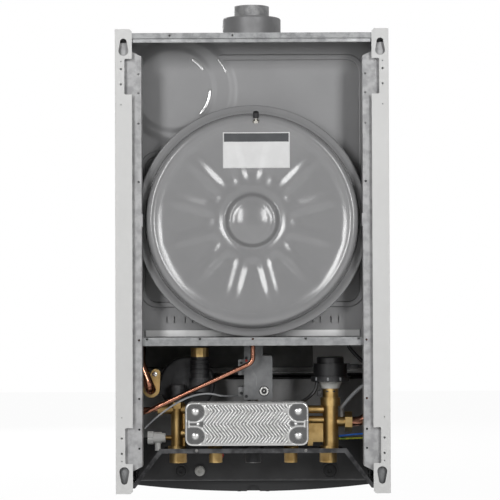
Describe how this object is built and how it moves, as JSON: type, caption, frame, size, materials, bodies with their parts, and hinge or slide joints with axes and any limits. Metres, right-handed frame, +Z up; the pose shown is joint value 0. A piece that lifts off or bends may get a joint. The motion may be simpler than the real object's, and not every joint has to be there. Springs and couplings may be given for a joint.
{
  "type": "wall-hung gas boiler",
  "caption": "Wall-hung room-sealed gas boiler open at the back, with an expansion vessel, plate exchanger, pump, gas valve, fan flue and a swing-down control panel.",
  "frame": {"origin": "midway between the upper hanging holes' hooks, on the wall plane", "axes": "+Z up, front facing -Y, wall plane y = 0, +X to the right seen from the front"},
  "size_m": [0.45, 0.345, 0.8477],
  "materials": {
    "white_panel": "white powder coat",
    "galvanised_sheet": "galvanised sheet",
    "dark_sheet": "dark coated sheet",
    "flue_metal": "drawn aluminium",
    "vessel_paint": "grey stove enamel",
    "black_rubber": "matt",
    "plated_brass": "nickel plate",
    "black_plastic": "matt moulded",
    "copper_pipe": "drawn copper",
    "plate_steel": "pressed stainless steel",
    "brass_casting": "hot-pressed brass",
    "pale_plastic": "moulded",
    "steel_rod": "zinc-plated steel",
    "pump_casting": "coated casting",
    "wheel_plastic": "moulded",
    "gas_casting": "die cast",
    "white_plastic": "moulded",
    "fascia_plastic": "grey moulded",
    "red_plastic": "moulded",
    "green_board": "lacquered board"
  },
  "bodies": {
    "boiler": {"right_side_panel": "white_panel", "left_side_panel": "white_panel", "right_frame_post": "galvanised_sheet", "left_frame_post": "galvanised_sheet", "top_panel": "galvanised_sheet", "vessel_shelf": "galvanised_sheet", "vessel_clips": "galvanised_sheet", "chamber_rear_wall": "galvanised_sheet", "chamber_shell": "galvanised_sheet", "chamber_front_plate": "galvanised_sheet", "flue_hood": "galvanised_sheet", "combustion_box": "galvanised_sheet", "burner": "galvanised_sheet", "pipe_bracket": "dark_sheet", "flue_turret": "flue_metal", "flue_spigot": "flue_metal", "vessel_rear_shell": "vessel_paint", "vessel_front_shell": "vessel_paint", "vessel_crimp_ring": "vessel_paint", "vessel_diaphragm": "black_rubber", "vessel_valve": "plated_brass", "vessel_valve_cap": "black_plastic", "diverter_actuator": "black_plastic", "air_vent_body": "black_plastic", "fan_motor": "black_plastic", "wiring_loom": "black_plastic", "vessel_pipe": "copper_pipe", "flow_pipe": "copper_pipe", "return_pipe": "copper_pipe", "main_exchanger": "copper_pipe", "exchanger_cover_plate": "plate_steel", "exchanger_plate_stack": "plate_steel", "return_block": "brass_casting", "flow_block": "brass_casting", "flow_pipe_nut": "brass_casting", "return_pipe_flange": "brass_casting", "air_vent_cap": "brass_casting", "safety_valve": "brass_casting", "burner_manifold": "brass_casting", "actuator_collar": "pale_plastic", "gas_inlet_pipe": "steel_rod", "gas_burner_pipe": "steel_rod", "pump_volute": "pump_casting", "pump_motor": "pump_casting", "gas_valve": "gas_casting", "fan_scroll": "gas_casting", "filling_tap_body": "white_plastic"},
    "front_cover": {"front_cover": "white_panel"},
    "control_panel": {"control_box": "black_plastic", "control_fascia": "fascia_plastic", "pressure_gauge": "black_plastic", "circuit_board": "green_board"},
    "heating_knob": {"heating_knob": "black_plastic"},
    "hot_water_knob": {"hot_water_knob": "black_plastic"},
    "gauge_needle": {"gauge_needle": "red_plastic"},
    "fan_impeller": {"fan_impeller": "gas_casting"},
    "pump_impeller": {"pump_impeller": "wheel_plastic"},
    "filling_tap_knob": {"filling_tap_knob": "white_plastic"},
    "safety_valve_knob": {"safety_valve_knob": "red_plastic"},
    "diverter_stem": {"diverter_stem": "steel_rod"}
  },
  "joints": [
    {"name": "front_cover_removal", "type": "slide", "parent": "boiler", "child": "front_cover", "axis": [0, -1, 0], "range_m": [0, 0.12]},
    {"name": "control_panel_swing", "type": "hinge", "parent": "boiler", "child": "control_panel", "pos_m": [0, -0.277, -0.731], "axis": [1, 0, 0], "range_deg": [0, 80]},
    {"name": "heating_knob_turn", "type": "hinge", "parent": "control_panel", "child": "heating_knob", "pos_m": [-0.07, -0.34, -0.655], "axis": [0, -1, 0], "range_deg": [-140, 140]},
    {"name": "hot_water_knob_turn", "type": "hinge", "parent": "control_panel", "child": "hot_water_knob", "pos_m": [-0.13, -0.34, -0.655], "axis": [0, -1, 0], "range_deg": [-140, 140]},
    {"name": "gauge_needle_turn", "type": "hinge", "parent": "control_panel", "child": "gauge_needle", "pos_m": [0.118, -0.342, -0.655], "axis": [0, -1, 0], "range_deg": [-135, 135]},
    {"name": "fan_spin", "type": "hinge", "parent": "boiler", "child": "fan_impeller", "pos_m": [0.07, -0.155, -0.078], "axis": [0, 1, 0], "continuous": true},
    {"name": "pump_spin", "type": "hinge", "parent": "boiler", "child": "pump_impeller", "pos_m": [0.114, -0.215, -0.571], "axis": [0, 1, 0], "continuous": true},
    {"name": "filling_tap_turn", "type": "hinge", "parent": "boiler", "child": "filling_tap_knob", "pos_m": [0.175, -0.15, -0.6604], "axis": [1, 0, 0], "range_deg": [0, 90]},
    {"name": "safety_valve_turn", "type": "hinge", "parent": "boiler", "child": "safety_valve_knob", "pos_m": [0.0635, -0.21, -0.695], "axis": [0, -1, 0], "range_deg": [0, 90]},
    {"name": "diverter_stroke", "type": "slide", "parent": "boiler", "child": "diverter_stem", "axis": [0, 0, 1], "range_m": [0, 0.006]}
  ]
}
